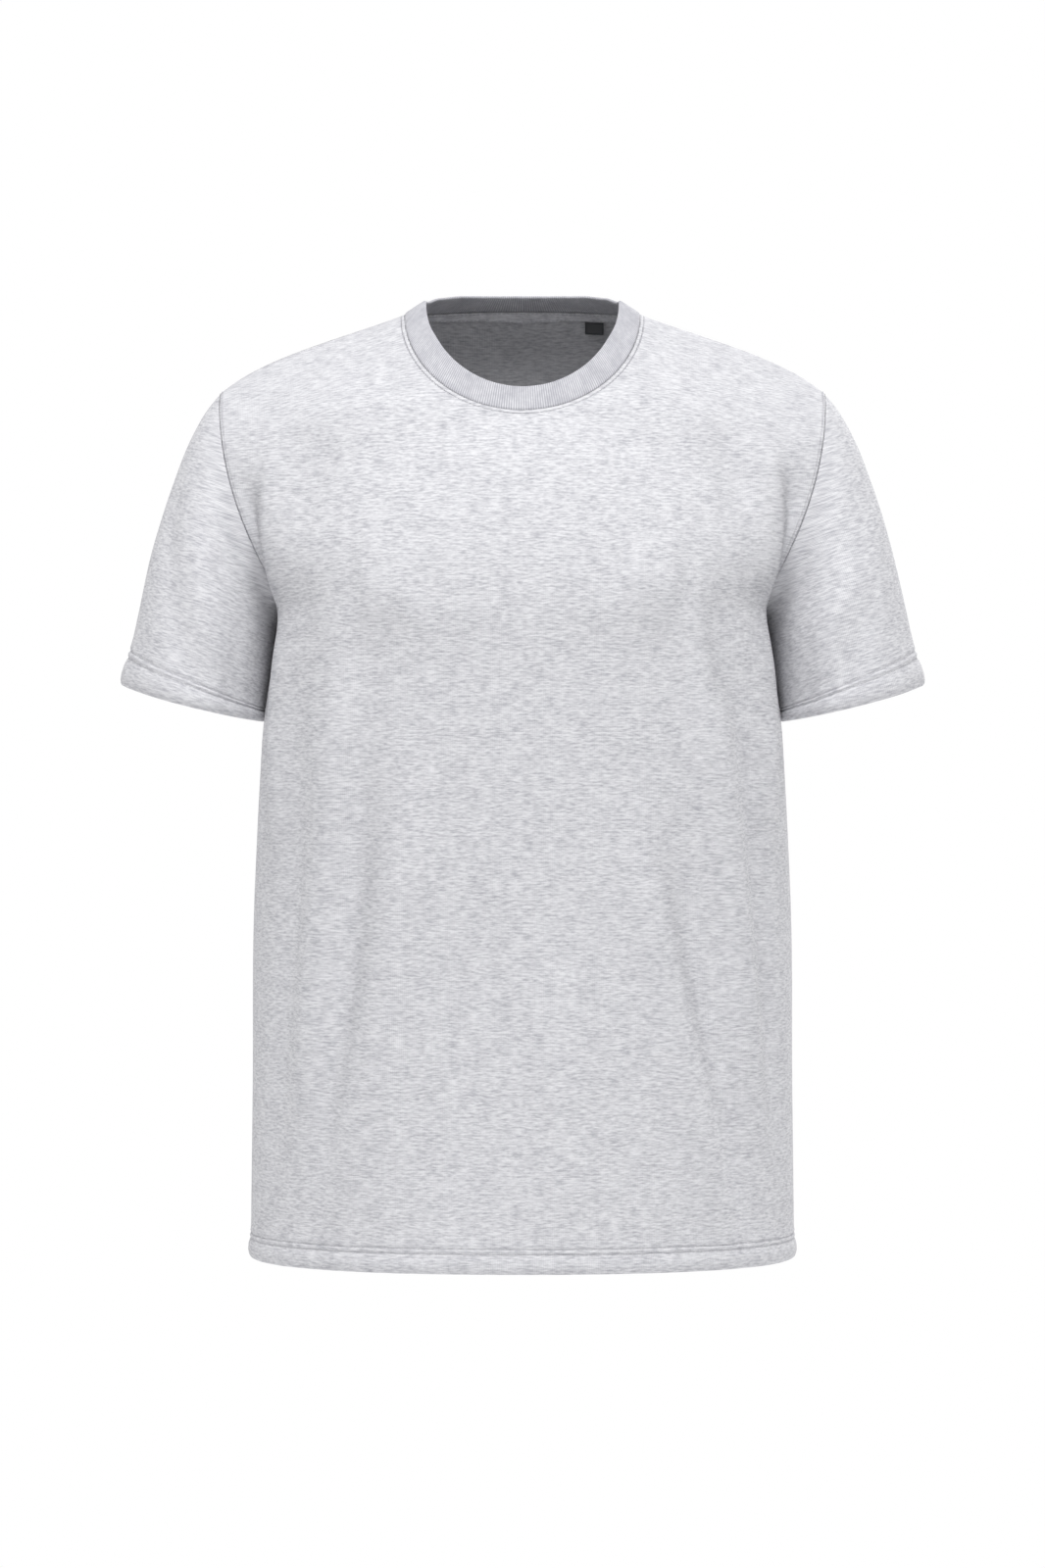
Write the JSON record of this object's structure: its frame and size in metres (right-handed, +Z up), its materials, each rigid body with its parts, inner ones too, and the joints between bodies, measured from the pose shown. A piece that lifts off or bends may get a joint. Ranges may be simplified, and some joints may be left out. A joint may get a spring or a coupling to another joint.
{
  "type": "crew neck t-shirt",
  "caption": "Short-sleeved crew neck T-shirt in heather grey jersey, filled out as if worn, with open neck, hem and cuffs, a rib neckband and double-stitched hems.",
  "frame": {"origin": "midway between the two neck points, where the shirt's shoulders hang from the wearer", "axes": "+Z up, -Y out of the chest, +X to the wearer's left arm"},
  "size_m": [0.6178, 0.2744, 0.7433],
  "materials": {
    "jersey": "matt heather grey single jersey",
    "rib_knit": "matt heather grey 1x1 rib",
    "woven_label": "satin woven tape"
  },
  "bodies": {
    "root": {"front": "jersey", "back": "jersey", "sleeve_left": "jersey", "sleeve_right": "jersey", "neckband": "rib_knit", "neck_tape": "jersey", "size_label": "woven_label"}
  },
  "joints": []
}
